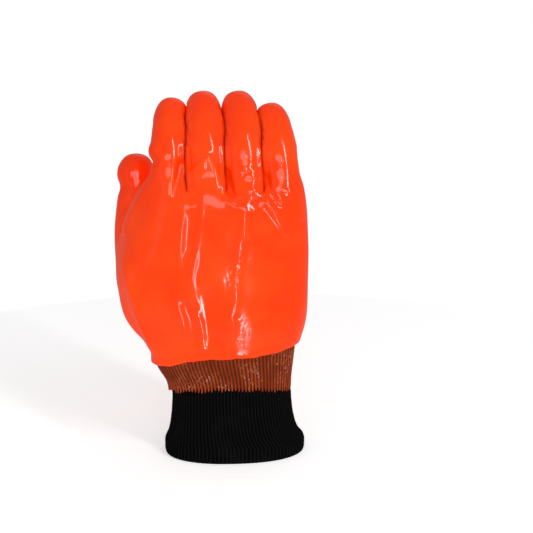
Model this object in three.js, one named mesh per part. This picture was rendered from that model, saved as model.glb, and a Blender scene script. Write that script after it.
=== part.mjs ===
// A PVC coated work glove for the right hand, with a knitted wrist, standing on the rim of its cuff.
//
// The coat is one hollow dipped shell. A coarse cage of four-sided faces is laid out from the tables
// below, rounded by Catmull-Clark subdivision, dented by the folds, and given its wall. The soaked band
// and the knitted cuff are ribbed tubes that tuck into the coat and into each other.
import * as THREE from 'three';

// Driving dimensions, in millimetres. Shapes are drawn round the middle of the cuff, on the surface that
// the glove stands on: +X runs to the little finger, +Y to the palm side and +Z up to the fingertips. The
// finished glove is moved so that its origin lies under the middle of its box.
const HAND_WIDTH = 139; // thumb side to little finger side, over the coat
const HAND_DEPTH = 54; // back of the hand to the palm, over the coat
const PALM_LENGTH = 124; // lower edge of the coat to the webs between the fingers
const FINGER_LENGTH = 80; // web to tip along the middle finger
const FINGER_WIDTH = 27;
const FINGER_DEPTH = 26;
const THUMB_RISE = 72; // from the middle of its root to its tip
const THUMB_WIDTH = 28;
const COAT_WALL = 2.2; // PVC with the liner under it
const COAT_EDGE_SLOPE = 0.12; // rise of the coat's lower edge for each millimetre to the little finger
const COAT_EDGE_DIP = 5; // how much lower that edge lies half a hand's width from the middle
const CUFF_HEIGHT = 55; // floor to the lower edge of the soaked band
const CUFF_RIM_WIDTH = 103;
const CUFF_RIM_DEPTH = 67;
const NECK_WIDTH = 87; // where cuff and band meet
const NECK_DEPTH = 55;
const NECK_SHIFT = -2; // where the middle of the neck lies across the hand
const RIM_TURN = 6; // degrees that the rim is turned from the neck, its thumb side towards the back
const BAND_HEIGHT = 25; // lower edge of the band to the coat, at the middle
const BAND_DIP = 5; // how much lower the band's lower edge lies at the two sides
const BAND_WALL = 1.5;
const BAND_LIP = 3; // how far the band's lower edge stands off the cuff on the thumb side
const KNIT_WALL = 1.9;
const HEM_WALL = 2.8; // the folded rim
const RIB_COUNT = 64;
const RIB_HEIGHT = 0.8;
const CUFF_TUCK = 7; // how far the cuff runs up inside the band
const CLEARANCE = 0.3; // between two pieces, one inside the other
const FINGER_GAP = 0.6; // between neighbouring fingers
const WEB_DIP = 6; // how far the clefts between the fingers reach down below the knuckles

const COAT_EDGE_Z = CUFF_HEIGHT + BAND_HEIGHT;

// A cubic B-spline surface through a cage runs inside it. Cage rings are drawn this much larger.
const RING_SWELL = 1.1;

// Sections of the palm, from the coat's lower edge to the webs. up is a share of PALM_LENGTH. left, right
// and bulge, which pushes the thumb side edge out, are shares of HAND_WIDTH; the others are shares of
// HAND_DEPTH. leftY and rightY place the two side edges, back and palm the middle of each face, thenar and
// heel the two mounds of the palm face, and hollow the dip between them.
const PALM_SECTIONS = [
  { up: 0, left: -0.437, right: 0.34, bulge: 0, leftY: 0, rightY: 0, back: -0.58, palm: 0.54, thenar: 0, heel: 0, hollow: 0 },
  { up: 0.07, left: -0.436, right: 0.367, bulge: 0, leftY: 0.02, rightY: 0, back: -0.57, palm: 0.5, thenar: 0.06, heel: 0.03, hollow: 0.03 },
  { up: 0.19, left: -0.56, right: 0.383, bulge: 0, leftY: 0.12, rightY: 0, back: -0.57, palm: 0.46, thenar: 0.2, heel: 0.08, hollow: 0.1 },
  { up: 0.34, left: -0.622, right: 0.388, bulge: 0, leftY: 0.22, rightY: 0, back: -0.55, palm: 0.42, thenar: 0.34, heel: 0.1, hollow: 0.18 },
  { up: 0.5, left: -0.61, right: 0.388, bulge: 0, leftY: 0.26, rightY: 0, back: -0.54, palm: 0.38, thenar: 0.3, heel: 0.08, hollow: 0.2 },
  { up: 0.66, left: -0.568, right: 0.388, bulge: 0.02, leftY: 0.3, rightY: 0, back: -0.52, palm: 0.36, thenar: 0.16, heel: 0.05, hollow: 0.14 },
  { up: 0.82, left: -0.505, right: 0.38, bulge: 0.05, leftY: 0.26, rightY: -0.02, back: -0.48, palm: 0.32, thenar: 0.04, heel: 0.03, hollow: 0.06 },
  { up: 0.97, left: -0.44, right: 0.362, bulge: 0.04, leftY: 0.14, rightY: -0.06, back: -0.4, palm: 0.26, thenar: 0, heel: 0, hollow: 0 },
];
const SECTION_POWER = 2.6; // roundness of a palm section: 2 is an ellipse, more is boxier
const SECTION_SPREAD = 0.93; // share of the half width that the face columns reach
const SECTION_SWELL = 1.02; // cage width over the finished width
const SLANT_REACH = 0.4; // share of the palm's length over which the slant of its lower edge dies out
// Where the mounds and the dip of the palm lie: shares of its width from the thumb side.
const MOUNDS = {
  thenar: { at: 0.16, reach: 0.4 },
  heel: { at: 0.86, reach: 0.3 },
  hollow: { at: 0.56, reach: 0.3 },
};

// The fingers, from the thumb side. length, width and depth are shares of the finger sizes; bends are
// degrees from upright towards the palm, and leans degrees towards the little finger, for the three bones.
const FINGERS = [
  { name: 'index', length: 0.865, width: 0.97, depth: 1, bends: [12, 42, 58], leans: [0, 1, 5] },
  { name: 'middle', length: 0.985, width: 0.98, depth: 1, bends: [10, 40, 59], leans: [-1, -3, -8] },
  { name: 'ring', length: 0.995, width: 0.98, depth: 1, bends: [10, 42, 60], leans: [0, -4, -13] },
  { name: 'little', length: 0.83, width: 0.95, depth: 0.96, bends: [11, 42, 58], leans: [-4, -10, -14] },
];
const BEND_SHARES = [0.36, 0.68]; // where a finger's two joints lie along it
const BEND_SPREAD = 0.11; // half the length over which a joint bends, as a share of the finger
const LINE_STEPS = 60; // short straight steps along a finger's centre line

// Rings along a finger: at is the share of its length, width and depth those of its root.
const FINGER_RINGS = [
  { at: 0.12, width: 1, depth: 1 },
  { at: 0.26, width: 1, depth: 1 },
  { at: 0.4, width: 1.01, depth: 1.02 },
  { at: 0.54, width: 1, depth: 0.98 },
  { at: 0.69, width: 1, depth: 1 },
  { at: 0.84, width: 0.98, depth: 0.98 },
  { at: 0.96, width: 0.78, depth: 0.78 },
];

// The thumb's centre line from its hole in the palm, as shares of HAND_WIDTH, HAND_DEPTH and THUMB_RISE.
const THUMB_LINE = [
  { across: -0.49, deep: 0.42, up: 0 },
  { across: -0.515, deep: 0.62, up: 0.35 },
  { across: -0.52, deep: 0.76, up: 0.7 },
  { across: -0.515, deep: 0.84, up: 1 },
];
const THUMB_RINGS = [
  { at: 0.2, width: 1.3, depth: 1.25 },
  { at: 0.36, width: 1.14, depth: 1.1 },
  { at: 0.5, width: 1.02, depth: 1.02 },
  { at: 0.63, width: 0.97, depth: 0.98 },
  { at: 0.76, width: 0.97, depth: 0.98 },
  { at: 0.88, width: 0.86, depth: 0.88 },
  { at: 0.97, width: 0.54, depth: 0.6 },
];

// Folds of the coat, each along a line from one place to another: shares of HAND_WIDTH across and of
// PALM_LENGTH up. rise is a share of COAT_WALL, below zero for a dent, width a share of FINGER_WIDTH,
// and face is 1 for the back of the hand and -1 for the palm.
const FOLDS = [
  { from: [-0.27, 0.97], to: [-0.28, 0.4], rise: 0.8, width: 0.42, face: 1 },
  { from: [-0.2, 0.9], to: [-0.22, 0.3], rise: -0.8, width: 0.42, face: 1 },
  { from: [-0.32, 0.42], to: [-0.26, 0.04], rise: -0.7, width: 0.42, face: 1 },
  { from: [0.13, 0.86], to: [0.3, 0.7], rise: -0.8, width: 0.4, face: 1 },
  { from: [0.05, 0.2], to: [0.0, 0.75], rise: -0.5, width: 0.5, face: 1 },
  { from: [-0.32, 0.88], to: [-0.12, 0.3], rise: -1.2, width: 0.45, face: -1 },
  { from: [-0.12, 0.3], to: [-0.19, 0.02], rise: -1.1, width: 0.4, face: -1 },
  { from: [-0.3, 0.74], to: [0.3, 0.66], rise: -0.9, width: 0.4, face: -1 },
];

const THUMB_ROWS = [3, 5]; // the palm sections between which the thumb grows out

// The cuff from its rim to the band: up is the share of its height, out the share of the flare from the
// neck to the rim, and lift a height in millimetres added to it.
const CUFF_PROFILE = [
  { up: 0, out: 0.92, lift: 1.6 },
  { up: 0, out: 1, lift: 5 },
  { up: 0.2, out: 1, lift: 0 },
  { up: 0.3, out: 0.57, lift: 0 },
  { up: 0.42, out: 0.32, lift: 0 },
  { up: 0.6, out: 0.12, lift: 0 },
  { up: 1, out: 0, lift: 0 },
];
const FOOT_OUT = 0.72; // flare of the flat foot ring that the glove stands on

// The band from its lower edge to the coat: up is the share of the height, out that of the widening.
const BAND_FLARE = [
  { up: 0.27, out: 0.18 },
  { up: 0.62, out: 0.62 },
];
const TUBE_SQUARE = 0.88; // 1 is an ellipse, less is boxier
const TUBE_STEPS = 360; // points of a section before it is spaced evenly

const FACE_COLUMNS = 9; // columns across the back and across the palm, two for each finger and one over
const RIGHT_COLUMN = FACE_COLUMNS;
const LEFT_COLUMN = 2 * FACE_COLUMNS + 1;
const RING_COLUMNS = LEFT_COLUMN + 1;
const CLEFT_COLUMNS = [2, 4, 6, 12, 14, 16]; // where the top of the palm runs down between two fingers
const DIGIT_SIDES = 8;
const UPRIGHT = new THREE.Vector3(0, 0, 1);

// A smooth bump of height 1 at middle that reaches 0 at halfWidth on either side.
function bump(value, middle, halfWidth) {
  const t = Math.min(1, Math.abs(value - middle) / halfWidth);
  return (1 - t * t) ** 2;
}

function smoothStep(t) {
  const s = Math.min(1, Math.max(0, t));
  return s * s * (3 - 2 * s);
}

// One point of a palm section. Columns 0 to 8 cross the back from the thumb side, 10 to 18 the palm face
// from the little finger side, and 9 and 19 are the two side edges.
function palmPoint(section, column) {
  const middle = ((section.left + section.right) / 2) * HAND_WIDTH;
  const half = ((section.right - section.left) / 2) * HAND_WIDTH * SECTION_SWELL;
  const z = COAT_EDGE_Z + section.up * PALM_LENGTH;
  let x, y;
  if (column === LEFT_COLUMN || column === RIGHT_COLUMN) {
    x = middle + (column === LEFT_COLUMN ? -half - section.bulge * HAND_WIDTH : half);
    y = (column === LEFT_COLUMN ? section.leftY : section.rightY) * HAND_DEPTH;
  } else {
    const onBack = column < RIGHT_COLUMN;
    const across = (onBack ? column : LEFT_COLUMN - 1 - column) / (FACE_COLUMNS - 1);
    const offset = SECTION_SPREAD * (2 * across - 1);
    const arch = (1 - Math.abs(offset) ** SECTION_POWER) ** (1 / SECTION_POWER);
    const side = THREE.MathUtils.lerp(section.leftY, section.rightY, across);
    const crown = onBack ? section.back : section.palm;
    const mound = (name) => section[name] * bump(across, MOUNDS[name].at, MOUNDS[name].reach);
    const mounds = onBack ? 0 : mound('thenar') + mound('heel') - mound('hollow');
    x = middle + offset * half;
    y = (side + (crown - side) * arch + mounds) * HAND_DEPTH;
  }
  const edge = 1 - smoothStep(section.up / SLANT_REACH);
  const slant = COAT_EDGE_SLOPE * x - COAT_EDGE_DIP * ((2 * x) / HAND_WIDTH) ** 2;
  const cleft = section === PALM_SECTIONS.at(-1) && CLEFT_COLUMNS.includes(column) ? WEB_DIP : 0;
  return new THREE.Vector3(x, y, z + edge * slant - cleft);
}

// A ring of eight points round a digit: side points across the hand and front to the face that starts it.
function digitRing(centre, side, front, halfWidth, halfDepth) {
  return Array.from({ length: DIGIT_SIDES }, (_, i) => {
    const angle = ((i - 1) * 2 * Math.PI) / DIGIT_SIDES;
    return centre.clone()
      .addScaledVector(side, Math.sin(angle) * halfWidth * RING_SWELL)
      .addScaledVector(front, Math.cos(angle) * halfDepth * RING_SWELL);
  });
}

// The centre line of a finger: straight bones with a smooth bend at each joint, as points and directions.
function fingerLine(finger, root) {
  const length = finger.length * FINGER_LENGTH;
  const line = [];
  const point = root.clone();
  for (let i = 0; i <= LINE_STEPS; i++) {
    const share = i / LINE_STEPS;
    const [knuckle, tip] = BEND_SHARES.map((joint) => smoothStep((share - joint) / (2 * BEND_SPREAD) + 0.5));
    const [bend, lean] = [finger.bends, finger.leans].map(([first, second, third]) =>
      THREE.MathUtils.degToRad(first + (second - first) * knuckle + (third - second) * tip));
    const along = new THREE.Vector3(Math.tan(lean), Math.sin(bend), Math.cos(bend)).normalize();
    line.push({ point: point.clone(), along });
    point.addScaledVector(along, length / LINE_STEPS);
  }
  return (share) => line[Math.round(share * LINE_STEPS)];
}

class Cage {
  constructor() {
    this.points = [];
    this.quads = [];
  }

  add(points) {
    const start = this.points.length;
    this.points.push(...points);
    return points.map((_, i) => start + i);
  }

  // A strip of faces between two rings of the same count.
  bridge(lower, upper, keep = () => true) {
    lower.forEach((a, i) => {
      const next = (i + 1) % lower.length;
      if (keep(i)) this.quads.push([a, lower[next], upper[next], upper[i]]);
    });
  }

  // Four faces over a ring of eight that meet at a tip.
  cap(ring, tip) {
    const [centre] = this.add([tip]);
    for (let corner = 0; corner < DIGIT_SIDES; corner += 2) {
      const before = ring[(corner + DIGIT_SIDES - 1) % DIGIT_SIDES];
      this.quads.push([before, ring[corner], ring[corner + 1], centre]);
    }
  }
}

function addPalm(cage) {
  const rings = PALM_SECTIONS.map((section) =>
    cage.add(Array.from({ length: RING_COLUMNS }, (_, column) => palmPoint(section, column))));
  for (let row = 0; row + 1 < rings.length; row++) {
    const thumbRow = row >= THUMB_ROWS[0] && row < THUMB_ROWS[1];
    const thumbColumns = [LEFT_COLUMN - 2, LEFT_COLUMN - 1];
    cage.bridge(rings[row], rings[row + 1], (column) => !(thumbRow && thumbColumns.includes(column)));
  }
  return rings;
}

function addFingers(cage, top) {
  const mean = (a, b) => cage.points[a].clone().add(cage.points[b]).multiplyScalar(0.5);
  const palmColumn = (column) => LEFT_COLUMN - 1 - column;
  const webs = FINGERS.map((_, i) => {
    if (i === 0) return top[LEFT_COLUMN];
    return cage.add([mean(top[2 * i], top[palmColumn(2 * i)])])[0];
  }).concat(top[RIGHT_COLUMN]);
  FINGERS.forEach((finger, i) => {
    const back = [2 * i, 2 * i + 1, 2 * i + 2].map((column) => top[column]);
    const front = [2 * i + 2, 2 * i + 1, 2 * i].map((column) => top[palmColumn(column)]);
    let lower = [...back, webs[i + 1], ...front, webs[i]];
    const root = new THREE.Vector3();
    lower.forEach((index) => root.addScaledVector(cage.points[index], 1 / DIGIT_SIDES));
    const line = fingerLine(finger, root);
    for (const ring of FINGER_RINGS) {
      const { point, along } = line(ring.at);
      const side = new THREE.Vector3(1, 0, 0).addScaledVector(along, -along.x).normalize();
      const outward = side.clone().cross(along);
      const width = ring.width * finger.width * FINGER_WIDTH - FINGER_GAP;
      const upper = cage.add(digitRing(point, side, outward, width / 2, (ring.depth * finger.depth * FINGER_DEPTH) / 2));
      cage.bridge(lower, upper);
      lower = upper;
    }
    cage.cap(lower, line(1).point);
  });
}

function addThumb(cage, rings) {
  const [low, high] = THUMB_ROWS;
  const [inner, middle, outer] = [LEFT_COLUMN - 2, LEFT_COLUMN - 1, LEFT_COLUMN];
  const half = (low + high) / 2;
  let lower = [[low, inner], [low, middle], [low, outer], [half, outer],
    [high, outer], [high, middle], [high, inner], [half, inner]].map(([row, column]) => rings[row][column]);
  const base = COAT_EDGE_Z + PALM_SECTIONS[half].up * PALM_LENGTH;
  const curve = new THREE.CatmullRomCurve3(THUMB_LINE.map((p) =>
    new THREE.Vector3(p.across * HAND_WIDTH, p.deep * HAND_DEPTH, base + p.up * THUMB_RISE)));
  for (const ring of THUMB_RINGS) {
    const along = curve.getTangentAt(ring.at);
    const side = new THREE.Vector3(-1, 0, 0).addScaledVector(along, along.x).normalize();
    const front = along.clone().cross(side).negate();
    const upper = cage.add(digitRing(curve.getPointAt(ring.at), side, front,
      (ring.width * THUMB_WIDTH) / 2, (ring.depth * THUMB_WIDTH) / 2));
    cage.bridge(lower, upper);
    lower = upper;
  }
  cage.cap(lower, curve.getPointAt(1));
}

// Edges of a mesh of quads: each key holds its two ends and the faces beside it.
function edgesOf(quads) {
  const edges = new Map();
  quads.forEach((quad, face) => quad.forEach((a, i) => {
    const b = quad[(i + 1) % 4];
    const key = a < b ? `${a},${b}` : `${b},${a}`;
    if (!edges.has(key)) edges.set(key, { ends: [a, b], faces: [] });
    edges.get(key).faces.push(face);
  }));
  return edges;
}

const meanOf = (points) => points.reduce((sum, p) => sum.add(p), new THREE.Vector3()).divideScalar(points.length);

// One Catmull-Clark step: each quad becomes four, and an open edge stays a smooth curve.
function subdivide({ points, quads }) {
  const facePoints = quads.map((quad) => meanOf(quad.map((v) => points[v])));
  const edges = edgesOf(quads);
  const around = points.map(() => ({ faces: [], middles: [], openEnds: [] }));
  quads.forEach((quad, face) => quad.forEach((v) => around[v].faces.push(facePoints[face])));
  const made = [...points.map(() => null), ...facePoints];
  for (const edge of edges.values()) {
    const [a, b] = edge.ends;
    const middle = meanOf([points[a], points[b]]);
    around[a].middles.push(middle);
    around[b].middles.push(middle);
    edge.index = made.length;
    if (edge.faces.length === 1) {
      around[a].openEnds.push(points[b]);
      around[b].openEnds.push(points[a]);
      made.push(middle);
    } else {
      made.push(meanOf([points[a], points[b], ...edge.faces.map((face) => facePoints[face])]));
    }
  }
  points.forEach((point, v) => {
    const { faces, middles, openEnds } = around[v];
    if (openEnds.length) {
      made[v] = point.clone().multiplyScalar(0.75).addScaledVector(meanOf(openEnds), 0.25);
    } else {
      const n = faces.length;
      made[v] = point.clone().multiplyScalar(n - 3).add(meanOf(faces)).addScaledVector(meanOf(middles), 2).divideScalar(n);
    }
  });
  const edgeIndex = (a, b) => edges.get(a < b ? `${a},${b}` : `${b},${a}`).index;
  const split = quads.flatMap((quad, face) => quad.map((v, i) => [
    v, edgeIndex(v, quad[(i + 1) % 4]), points.length + face, edgeIndex(quad[(i + 3) % 4], v)]));
  return { points: made, quads: split };
}

// The open edge of a mesh as an ordered ring, and the ring of neighbours one row in from it.
function openRings({ quads }) {
  const next = new Map();
  const inner = new Map();
  const open = [...edgesOf(quads).values()].filter((edge) => edge.faces.length === 1);
  const onEdge = new Set(open.flatMap((edge) => edge.ends));
  for (const { ends: [a, b], faces: [face] } of open) {
    const quad = quads[face];
    next.set(a, b);
    inner.set(a, quad[(quad.indexOf(a) + 3) % 4]);
  }
  const ring = [[...onEdge][0]];
  while (ring.length < onEdge.size) ring.push(next.get(ring[ring.length - 1]));
  return { edge: ring, inner: ring.map((v) => inner.get(v)) };
}

function vertexNormals({ points, quads }) {
  const normals = points.map(() => new THREE.Vector3());
  for (const quad of quads) {
    const [a, b, c, d] = quad.map((v) => points[v]);
    const normal = c.clone().sub(a).cross(d.clone().sub(b));
    quad.forEach((v) => normals[v].add(normal));
  }
  return normals.map((normal) => normal.normalize());
}

// A geometry from faces of three or four corners, without the points that no face uses.
function geometryOf(points, faces) {
  const used = [...new Set(faces.flat())];
  const place = new Map(used.map((v, i) => [v, i]));
  const geometry = new THREE.BufferGeometry().setFromPoints(used.map((v) => points[v]));
  const triangles = faces.flatMap(([a, b, c, d]) => (d === undefined ? [a, b, c] : [a, b, c, a, c, d]));
  geometry.setIndex(triangles.map((v) => place.get(v)));
  geometry.computeVertexNormals();
  return geometry;
}

// How far the folds raise or dent one point of the skin.
function foldHeight(point, normal) {
  return FOLDS.reduce((sum, fold) => {
    const facing = smoothStep(-normal.y * fold.face * 2);
    const [start, end] = [fold.from, fold.to].map(([across, up]) =>
      new THREE.Vector2(across * HAND_WIDTH, COAT_EDGE_Z + up * PALM_LENGTH));
    const line = end.clone().sub(start);
    const here = new THREE.Vector2(point.x, point.z).sub(start);
    const along = THREE.MathUtils.clamp(here.dot(line) / line.lengthSq(), 0, 1);
    const away = here.distanceTo(line.multiplyScalar(along));
    return sum + facing * fold.rise * COAT_WALL * bump(away, 0, fold.width * FINGER_WIDTH);
  }, 0);
}

// The coat's outer skin, and its points moved in by any depth along their normals.
function coatSkin() {
  const cage = new Cage();
  const rings = addPalm(cage);
  addThumb(cage, rings);
  addFingers(cage, rings[rings.length - 1]);
  const mesh = subdivide(cage);
  const smooth = vertexNormals(mesh);
  mesh.points.forEach((point, i) => point.addScaledVector(smooth[i], foldHeight(point, smooth[i])));
  const normals = vertexNormals(mesh);
  const inset = (depth) => mesh.points.map((point, i) => point.clone().addScaledVector(normals[i], -depth));
  return { mesh, inset, rings: openRings(mesh) };
}

// The hollow coat: the skin, the same skin moved in by the wall, and the lip between them.
function coatGeometry({ mesh, inset, rings }) {
  const count = mesh.points.length;
  const points = [...mesh.points, ...inset(COAT_WALL)];
  const innerQuads = mesh.quads.map((quad) => quad.map((v) => v + count).reverse());
  const lip = rings.edge.map((a, i) => {
    const b = rings.edge[(i + 1) % rings.edge.length];
    return [b, a, a + count, b + count];
  });
  return geometryOf(points, [...mesh.quads, ...innerQuads, ...lip]);
}

// The same point of a closed ring for each place: its segment and the share of that segment.
const pick = (ring, places) => places.map(([i, t]) => ring[i].clone().lerp(ring[(i + 1) % ring.length], t));

// Places evenly spaced along a closed ring, from its leftmost point on.
function evenPlaces(ring, count) {
  const start = ring.reduce((best, p, i) => (p.x < ring[best].x ? i : best), 0);
  const lengths = ring.map((_, k) => {
    const i = (start + k) % ring.length;
    return ring[i].distanceTo(ring[(i + 1) % ring.length]);
  });
  const step = lengths.reduce((sum, length) => sum + length, 0) / count;
  const places = [];
  let segment = 0;
  let passed = 0;
  for (let k = 0; k < count; k++) {
    while (k * step > passed + lengths[segment]) passed += lengths[segment++];
    places.push([(start + segment) % ring.length, (k * step - passed) / lengths[segment]]);
  }
  return places;
}

// A level section of the tubes, evenly spaced: an ellipse, a little squared, turned about its middle.
function tubeRing(width, depth, shift, turn, zAt) {
  const fine = Array.from({ length: TUBE_STEPS }, (_, i) => {
    const angle = Math.PI + (i * 2 * Math.PI) / TUBE_STEPS;
    const [c, s] = [Math.cos(angle), Math.sin(angle)];
    return new THREE.Vector3(
      (Math.sign(c) * Math.abs(c) ** TUBE_SQUARE * width) / 2,
      (Math.sign(s) * Math.abs(s) ** TUBE_SQUARE * depth) / 2,
      0,
    );
  });
  const ring = pick(fine, evenPlaces(fine, 2 * RIB_COUNT));
  ring.forEach((point) => {
    point.applyAxisAngle(UPRIGHT, THREE.MathUtils.degToRad(turn));
    point.x += shift;
    point.z = zAt(point.x);
  });
  return ring;
}

// Every second point from the groove ring: a ring that zigzags over the ribs.
const ribbed = (ridges, grooves) => ridges.map((point, i) => (i % 2 ? grooves[i] : point));
const halved = (ring) => ring.filter((_, i) => i % 2 === 0);

// A closed tube wall from its rings: up the outside, over the top, down the inside and back to the start.
function tubeGeometry(rings) {
  const points = rings.flat();
  const faces = [];
  let offset = 0;
  rings.forEach((ring, r) => {
    const upper = rings[(r + 1) % rings.length];
    const upperOffset = r + 1 === rings.length ? 0 : offset + ring.length;
    const [count, most] = [Math.min(ring.length, upper.length), Math.max(ring.length, upper.length)];
    for (let i = 0; i < count; i++) {
      const at = (list, start, k) => start + (k % list.length);
      const low = (k) => at(ring, offset, k);
      const high = (k) => at(upper, upperOffset, k);
      if (count === most) {
        faces.push([low(i), low(i + 1), high(i + 1), high(i)]);
      } else if (ring.length > upper.length) {
        faces.push([low(2 * i), low(2 * i + 1), high(i)], [low(2 * i + 1), low(2 * i + 2), high(i + 1), high(i)]);
      } else {
        faces.push([low(i), high(2 * i + 1), high(2 * i)], [low(i), low(i + 1), high(2 * i + 2), high(2 * i + 1)]);
      }
    }
    offset += ring.length;
  });
  return geometryOf(points, faces);
}

const bandEdge = (x) => CUFF_HEIGHT - BAND_DIP * ((x - NECK_SHIFT) / (NECK_WIDTH / 2)) ** 2;

// The soaked band: from the cuff up to the mouth of the coat, with its top tucked inside the coat.
function bandGeometry({ inset, rings }) {
  const outerDepth = COAT_WALL + CLEARANCE;
  const mouth = inset(outerDepth);
  const places = evenPlaces(rings.edge.map((v) => mouth[v]), 2 * RIB_COUNT);
  const row = (list, depth) => {
    const points = inset(outerDepth + depth);
    return pick(list.map((v) => points[v]), places);
  };
  const levels = (depth) => {
    const [edge, tucked] = [row(rings.edge, depth), row(rings.inner, depth)];
    const width = NECK_WIDTH + BAND_LIP - 2 * depth;
    const neck = tubeRing(width, NECK_DEPTH - 2 * depth, NECK_SHIFT - BAND_LIP / 2, 0, bandEdge);
    const between = BAND_FLARE.map(({ up, out }) => neck.map((point, i) => {
      const mixed = point.clone().lerp(edge[i], out);
      mixed.z = THREE.MathUtils.lerp(point.z, edge[i].z, up);
      return mixed;
    }));
    return [neck, ...between, edge, tucked];
  };
  const [ridges, grooves, inside] = [0, RIB_HEIGHT, RIB_HEIGHT + BAND_WALL].map(levels);
  const outside = ridges.map((ring, i) => ribbed(ring, grooves[i]));
  return tubeGeometry([...outside, ...inside.reverse().map(halved)]);
}

// The knitted cuff: a flared rib tube whose rim is folded, with its top stepped in to tuck inside the band.
function cuffGeometry() {
  const ring = ({ up, out, lift }, depth) => {
    const width = THREE.MathUtils.lerp(NECK_WIDTH, CUFF_RIM_WIDTH, out) - 2 * depth;
    const height = THREE.MathUtils.lerp(NECK_DEPTH, CUFF_RIM_DEPTH, out) - 2 * depth;
    const zAt = (x) => up * (bandEdge(x) - CLEARANCE) + lift;
    return tubeRing(width, height, NECK_SHIFT * (1 - out), RIM_TURN * out, zAt);
  };
  const wallAt = ({ out }) => RIB_HEIGHT + THREE.MathUtils.lerp(KNIT_WALL, HEM_WALL, out);
  const outside = CUFF_PROFILE.map((level) => ribbed(ring(level, 0), ring(level, RIB_HEIGHT)));
  const inside = CUFF_PROFILE.map((level) => halved(ring(level, wallAt(level))));
  const step = BAND_WALL + RIB_HEIGHT + CLEARANCE;
  const top = { up: 1, out: 0, lift: 0 };
  const tucked = { ...top, lift: CUFF_TUCK };
  const foot = { up: 0, out: FOOT_OUT, lift: 0 };
  return tubeGeometry([
    halved(ring(foot, RIB_HEIGHT)),
    ...outside,
    halved(ring(top, step)),
    halved(ring(tucked, step)),
    halved(ring(tucked, step + KNIT_WALL)),
    halved(ring({ ...top, lift: -step }, step + KNIT_WALL)),
    ...inside.slice(1, -1).filter((_, i) => i % 2 === 0).reverse(),
    halved(ring(foot, wallAt(foot))),
  ]);
}

const materials = {
  coat: new THREE.MeshStandardMaterial({ color: 0xff4a14, roughness: 0.22, metalness: 0 }),
  band: new THREE.MeshStandardMaterial({ color: 0x8a2c0a, roughness: 0.45, metalness: 0 }),
  knit: new THREE.MeshStandardMaterial({ color: 0x0c0c0e, roughness: 0.9, metalness: 0 }),
};

function part(name, geometry, material) {
  const mesh = new THREE.Mesh(geometry, material);
  mesh.name = name;
  return mesh;
}

const skin = coatSkin();
const glove = new THREE.Group();
glove.add(
  part('coated_hand', coatGeometry(skin), materials.coat),
  part('soaked_band', bandGeometry(skin), materials.band),
  part('knit_cuff', cuffGeometry(), materials.knit),
);
const middle = new THREE.Box3().setFromObject(glove).getCenter(new THREE.Vector3());
glove.position.set(-middle.x, -middle.y, 0);

export default glove;
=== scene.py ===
"""The looks of a PVC coated work glove for the right hand, standing on its knitted cuff.

Shapes are worked out in millimetres round the middle of the cuff: +X runs to the little finger, +Y to the
palm side and +Z up. They are moved onto the CAD model, whose cuff has its middle at the same place, and
turned into metres at the end.
"""
import math

import bpy
import numpy as np
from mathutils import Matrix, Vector


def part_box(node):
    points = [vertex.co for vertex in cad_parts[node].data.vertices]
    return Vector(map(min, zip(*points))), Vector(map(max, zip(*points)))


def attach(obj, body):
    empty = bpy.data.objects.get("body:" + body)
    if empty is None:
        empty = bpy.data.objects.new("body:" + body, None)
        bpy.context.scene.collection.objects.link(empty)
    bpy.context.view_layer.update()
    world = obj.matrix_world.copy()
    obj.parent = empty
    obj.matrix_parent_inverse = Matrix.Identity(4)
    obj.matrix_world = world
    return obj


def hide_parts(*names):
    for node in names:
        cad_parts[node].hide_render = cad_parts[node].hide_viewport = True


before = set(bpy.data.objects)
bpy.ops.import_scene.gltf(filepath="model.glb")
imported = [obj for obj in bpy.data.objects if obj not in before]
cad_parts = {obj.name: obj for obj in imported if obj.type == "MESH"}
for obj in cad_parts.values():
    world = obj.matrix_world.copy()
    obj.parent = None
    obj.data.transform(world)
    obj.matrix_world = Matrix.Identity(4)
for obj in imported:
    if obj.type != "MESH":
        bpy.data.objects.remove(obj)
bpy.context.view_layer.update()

MM = 0.001
CUFF_LOW, CUFF_HIGH = (np.array(corner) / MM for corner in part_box("knit_cuff"))
SHIFT = np.array([(CUFF_LOW[0] + CUFF_HIGH[0]) / 2, (CUFF_LOW[1] + CUFF_HIGH[1]) / 2, 0.0])

# Sizes of the glove in millimetres, and the powers and shares of its sections, as in its solids.
HAND_WIDTH = 139.0
HAND_DEPTH = 54.0
PALM_LENGTH = 124.0
FINGER_LENGTH = 80.0
FINGER_WIDTH = 27.0
FINGER_DEPTH = 26.0
FINGER_GAP = 0.6
WEB_DIP = 6.0
THUMB_RISE = 72.0
THUMB_LENGTH = THUMB_RISE * 1.05
THUMB_WIDTH = 28.0
COAT_WALL = 2.2
COAT_EDGE_Z = 80.0
COAT_EDGE_SLOPE = 0.12
COAT_EDGE_DIP = 5.0
CUFF_HEIGHT = 55.0
CUFF_RIM = (103.0, 67.0)
NECK = (87.0, 55.0)
NECK_SHIFT = -2.0
BAND_DIP = 5.0
BAND_LIP = 3.0
BAND_GAP = 0.5
RIM_TURN = 6.0
RIB_HEIGHT = 0.7
RING_SWELL = 1.1
SECTION_POWER = 2.6
SECTION_SPREAD = 0.93
SECTION_SWELL = 1.02
SLANT_FADE = 0.4
TUBE_SQUARE = 0.88

# The knit's ribs, narrower than in the solids, and the points round the tubes.
RIB_COUNT = 96
BAND_COLUMNS = RIB_COUNT * 12
CUFF_COLUMNS = RIB_COUNT * 8
STITCH_RISE = 2.3
STITCH_SLANT = 1.1

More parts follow.
